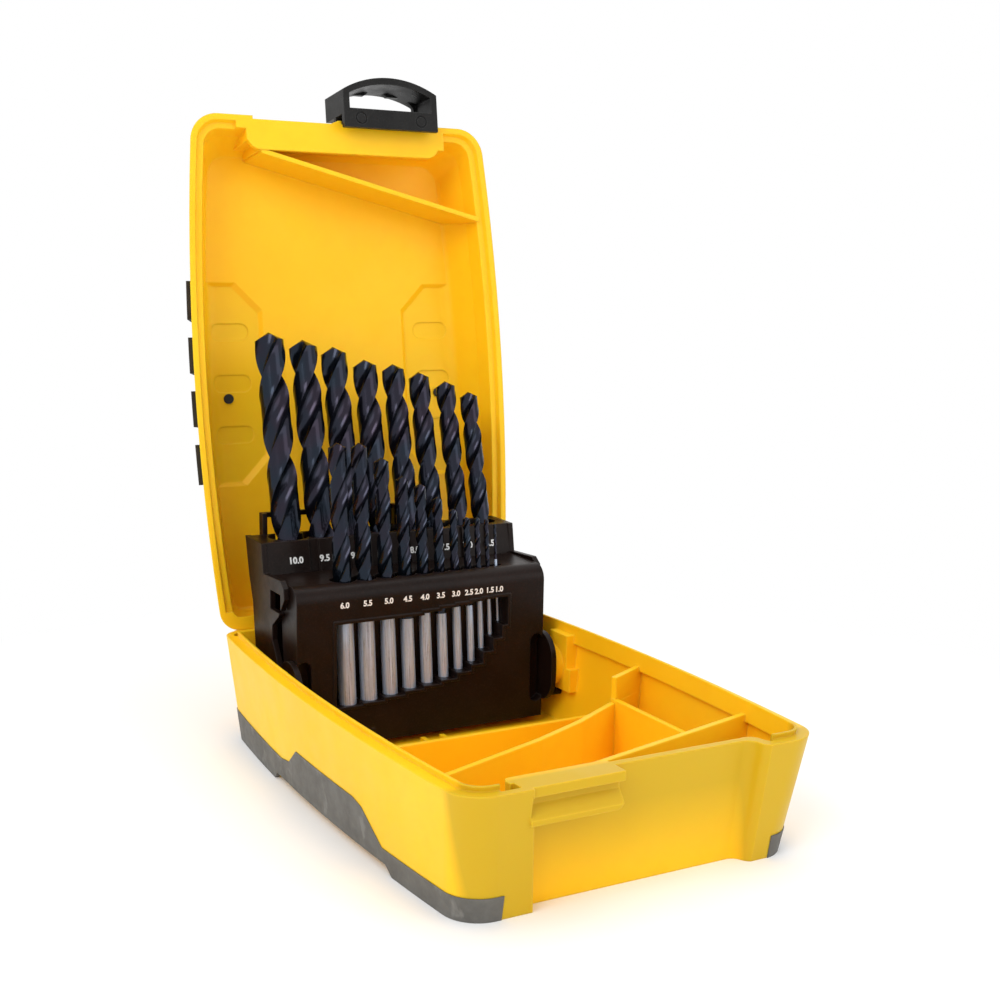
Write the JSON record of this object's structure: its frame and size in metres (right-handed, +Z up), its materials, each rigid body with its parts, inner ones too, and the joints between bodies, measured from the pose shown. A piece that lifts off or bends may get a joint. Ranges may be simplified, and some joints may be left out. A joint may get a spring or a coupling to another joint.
{
  "type": "drill bit case",
  "caption": "Hinged case with a latch, open on its base, holding twist drills in a two tier holder that tips up as the lid opens.",
  "frame": {"origin": "centre of the base's underside", "axes": "+X right along the hinge, +Y from the latch side to the hinge, +Z up"},
  "size_m": [0.1182, 0.2178, 0.2226],
  "materials": {
    "case_plastic": "satin translucent yellow plastic",
    "bumper_rubber": "matte dark grey rubber",
    "grip_rubber": "matte black rubber",
    "latch_plastic": "satin black plastic",
    "holder_plastic": "fine grained black plastic",
    "drill_steel": "black oxide flutes, bright shanks"
  },
  "bodies": {
    "case_base": {"base_shell": "case_plastic", "base_bumper_left": "bumper_rubber", "base_bumper_right": "bumper_rubber", "hinge_film": "case_plastic"},
    "lid": {"lid_shell": "case_plastic", "lid_grip_left": "grip_rubber", "lid_grip_right": "grip_rubber"},
    "latch": {"latch_handle": "latch_plastic"},
    "holder": {"holder_rear_tray": "holder_plastic", "holder_front_tray": "holder_plastic", "drill_10_0": "drill_steel", "drill_9_5": "drill_steel", "drill_9_0": "drill_steel", "drill_8_5": "drill_steel", "drill_8_0": "drill_steel", "drill_7_5": "drill_steel", "drill_7_0": "drill_steel", "drill_6_5": "drill_steel", "drill_6_0": "drill_steel", "drill_5_5": "drill_steel", "drill_5_0": "drill_steel", "drill_4_5": "drill_steel", "drill_4_0": "drill_steel", "drill_3_5": "drill_steel", "drill_3_0": "drill_steel", "drill_2_5": "drill_steel", "drill_2_0": "drill_steel", "drill_1_5": "drill_steel", "drill_1_0": "drill_steel"}
  },
  "joints": [
    {"name": "lid_hinge", "type": "hinge", "parent": "case_base", "child": "lid", "pos_m": [0, 0.087, 0.035], "axis": [1, 0, 0], "range_deg": [0, 98.3], "deforming": ["hinge_film"]},
    {"name": "holder_tilt", "type": "hinge", "parent": "case_base", "child": "holder", "pos_m": [0, 0.046, 0.022], "axis": [1, 0, 0], "range_deg": [0, 101.74]},
    {"name": "latch_slide", "type": "slide", "parent": "lid", "child": "latch", "axis": [-1, 0, 0], "range_m": [0, 0.031]}
  ],
  "couplings": [
    {"joint": "holder_tilt", "follows": "lid_hinge", "ratio": 1.035}
  ]
}
